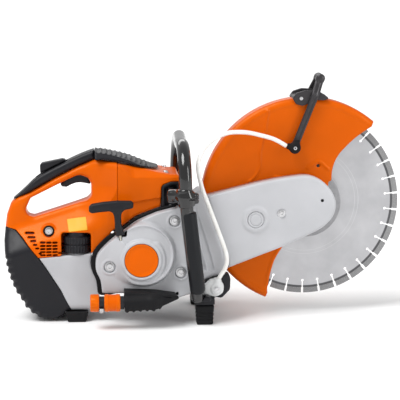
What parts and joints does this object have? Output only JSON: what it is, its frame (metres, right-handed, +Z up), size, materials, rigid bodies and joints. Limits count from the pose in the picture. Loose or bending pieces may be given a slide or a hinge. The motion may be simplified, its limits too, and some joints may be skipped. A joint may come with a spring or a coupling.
{
  "type": "rescue saw",
  "caption": "Petrol rescue saw with a guarded diamond cutting wheel, loop rear handle, bent front handlebar, rewind starter and water supply.",
  "frame": {"origin": "on the floor, under the middle of the saw's bounding box", "axes": "+X towards the cutting wheel, +Z up, starter side towards -Y"},
  "size_m": [0.732, 0.279, 0.448],
  "materials": {
    "orange_plastic": "glossy orange moulded plastic",
    "black_plastic": "satin black moulded plastic",
    "grey_cover": "light grey painted casting",
    "tank_plastic": "light grey moulded plastic",
    "rubber": "matt black rubber",
    "dark_sleeve": "dark grey rubber sleeve",
    "bar_paint": "gloss black painted tube",
    "guard_paint": "gloss orange painted sheet",
    "dark_metal": "dark grey painted metal",
    "bright_steel": "zinc plated steel",
    "wheel_steel": "ground steel core",
    "diamond_segment": "sintered diamond segment",
    "aluminium": "cast aluminium",
    "white_plastic": "natural white nylon",
    "hose": "milky translucent hose",
    "rope": "braided cord",
    "filter_paper": "pleated filter felt"
  },
  "bodies": {
    "root": {"rear_housing": "orange_plastic", "grip_cover": "black_plastic", "filter_cover": "black_plastic", "tail_guard": "black_plastic", "fuel_tank": "tank_plastic", "rear_feet": "rubber", "engine_shroud": "orange_plastic", "machine_screws": "bright_steel", "starter_cover": "grey_cover", "starter_badge": "orange_plastic", "starter_screws": "bright_steel", "cover_gasket": "rubber", "recoil_spring": "bright_steel", "starter_rope": "rope", "belt_housing": "grey_cover", "arm_casting": "aluminium", "belt_guard": "grey_cover", "tension_fasteners": "bright_steel", "v_belt": "rubber", "ball_bearings": "bright_steel", "crankcase": "aluminium", "cylinder": "aluminium", "piston": "aluminium", "connecting_rod": "bright_steel", "spark_plug": "white_plastic", "carburettor": "aluminium", "air_filter": "filter_paper", "muffler": "dark_metal", "fan_housing": "grey_cover", "handlebar": "bar_paint", "handlebar_sleeve": "dark_sleeve", "handlebar_clamp": "black_plastic", "av_buffers": "rubber", "front_bracket": "black_plastic", "front_feet": "rubber", "hose_fitting": "white_plastic", "water_hose": "hose", "coupling_core": "black_plastic", "coupling_nose": "orange_plastic", "coupling_grip": "rubber", "coupling_clip": "bright_steel"},
    "wheel": {"spindle_shaft": "bright_steel", "driven_pulley": "aluminium", "wheel_flanges": "bright_steel", "wheel_bolt": "bright_steel", "wheel_core": "wheel_steel", "wheel_segments": "diamond_segment"},
    "drum": {"clutch_drum": "bright_steel"},
    "crank": {"crankshaft": "bright_steel", "flywheel": "aluminium", "clutch_shoes": "dark_metal"},
    "guard": {"guard_shell": "guard_paint", "guard_lever": "dark_metal", "guard_fittings": "dark_metal"},
    "trigger": {"throttle_trigger": "black_plastic"},
    "lockout": {"trigger_lockout": "black_plastic"},
    "grip": {"starter_grip": "black_plastic"},
    "reel": {"rope_reel": "white_plastic"},
    "cap": {"fuel_cap": "black_plastic"},
    "collar": {"coupling_collar": "orange_plastic"}
  },
  "joints": [
    {"name": "wheel_spin", "type": "hinge", "parent": "root", "child": "wheel", "pos_m": [0.191, 0, 0.212], "axis": [0, 1, 0], "continuous": true},
    {"name": "drum_spin", "type": "hinge", "parent": "root", "child": "drum", "pos_m": [-0.117, 0, 0.122], "axis": [0, 1, 0], "continuous": true},
    {"name": "crank_spin", "type": "hinge", "parent": "root", "child": "crank", "pos_m": [-0.117, 0, 0.122], "axis": [0, 1, 0], "continuous": true},
    {"name": "guard_swivel", "type": "hinge", "parent": "root", "child": "guard", "pos_m": [0.191, 0, 0.212], "axis": [0, 1, 0], "range_deg": [-20, 45], "deforming": ["water_hose"]},
    {"name": "throttle_squeeze", "type": "hinge", "parent": "root", "child": "trigger", "pos_m": [-0.211, 0, 0.257], "axis": [0, 1, 0], "range_deg": [0, 12], "stiffness_Nm_per_rad": 0.4, "springref_deg": -5.73},
    {"name": "lockout_press", "type": "hinge", "parent": "root", "child": "lockout", "pos_m": [-0.2525, 0, 0.2925], "axis": [0, -1, 0], "range_deg": [0, 9], "stiffness_Nm_per_rad": 0.4, "springref_deg": -5.73},
    {"name": "starter_pull", "type": "slide", "parent": "root", "child": "grip", "axis": [-0.0906, 0, 0.9959], "range_m": [0, 0.6], "stiffness_N_per_m": 15, "springref_m": -0.2, "deforming": ["starter_rope"]},
    {"name": "reel_spin", "type": "hinge", "parent": "root", "child": "reel", "pos_m": [-0.117, 0, 0.122], "axis": [0, 1, 0], "range_deg": [0, 1100]},
    {"name": "cap_turn", "type": "hinge", "parent": "root", "child": "cap", "pos_m": [-0.233, -0.036, 0.147], "axis": [0, 0, 1], "range_deg": [0, 360]},
    {"name": "collar_slide", "type": "slide", "parent": "root", "child": "collar", "axis": [1, 0, 0], "range_m": [0, 0.006], "stiffness_N_per_m": 300, "springref_m": -0.004}
  ],
  "couplings": [
    {"joint": "drum_spin", "follows": "wheel_spin", "ratio": 1.7857},
    {"joint": "reel_spin", "follows": "starter_pull", "rad_per_m": 29.85}
  ]
}
